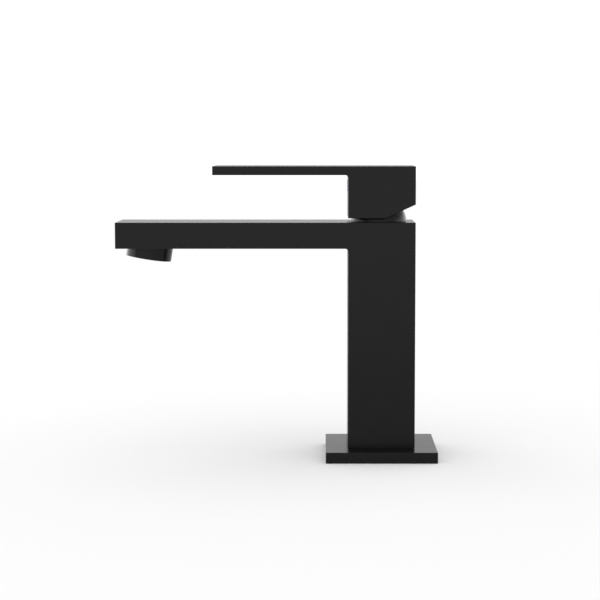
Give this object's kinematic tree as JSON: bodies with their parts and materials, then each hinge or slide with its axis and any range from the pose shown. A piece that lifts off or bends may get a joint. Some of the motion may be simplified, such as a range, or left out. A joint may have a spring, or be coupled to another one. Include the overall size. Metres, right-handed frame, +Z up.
{
  "type": "basin mixer faucet",
  "caption": "Square single-lever basin mixer with a flat spout, a tilted aerator outlet and a flat lever handle over a ceramic disc cartridge.",
  "frame": {"origin": "on the column's axis at the deck, level with the underside of the base plate", "axes": "+Z up away from the deck; the spout and the lever reach out along -Y towards the user; +X is the user's right, the cold side"},
  "size_m": [0.063, 0.1815, 0.1663],
  "materials": {
    "black_finish": "matt black electrophoretic paint with a fine texture",
    "brass": "machined, satin",
    "stainless": "turned and drawn steel, satin",
    "copper": "drawn copper tube, satin",
    "rubber": "moulded EPDM, matt",
    "ceramic": "lapped alumina, fine matt",
    "white_plastic": "moulded acetal, satin",
    "grey_plastic": "moulded glass-filled nylon, matt",
    "aerator_plastic": "moulded acetal, satin",
    "index_colours": "moulded plastic, red on the hot side and blue on the cold side"
  },
  "bodies": {
    "body": {"base_plate": "black_finish", "base_gasket": "rubber", "foot_insert": "brass", "hot_riser": "copper", "cold_riser": "copper", "riser_orings": "rubber", "body_casting": "black_finish", "aerator_housing": "aerator_plastic", "outlet_grid": "aerator_plastic", "aerator_core": "white_plastic", "flow_regulator": "white_plastic", "filter_screen": "stainless", "aerator_seal": "rubber", "cartridge_base": "white_plastic", "port_seals": "rubber", "disc_seals": "rubber", "fixed_disc": "ceramic", "cartridge_housing": "white_plastic", "rotor_oring": "rubber", "cartridge_nut": "brass", "dome_cover": "black_finish"},
    "rotor": {"cartridge_rotor": "grey_plastic", "pivot_pin": "stainless", "thrust_ring": "white_plastic"},
    "lever": {"control_stem": "stainless", "handle": "black_finish", "handle_screw": "stainless", "index_cap": "index_colours"},
    "disc": {"moving_disc": "ceramic", "disc_carrier": "grey_plastic"}
  },
  "joints": [
    {"name": "handle_turn", "type": "hinge", "parent": "body", "child": "rotor", "pos_m": [0, -0.0012, 0.1336], "axis": [0, 0, 1], "range_deg": [-45, 45]},
    {"name": "handle_lift", "type": "hinge", "parent": "rotor", "child": "lever", "pos_m": [0, -0.0012, 0.1336], "axis": [-1, 0, 0], "range_deg": [0, 25]},
    {"name": "disc_slide", "type": "slide", "parent": "rotor", "child": "disc", "axis": [0, -1, 0], "range_m": [0, 0.00495]}
  ],
  "couplings": [
    {"joint": "disc_slide", "follows": "handle_lift", "m_per_rad": 0.01127}
  ]
}
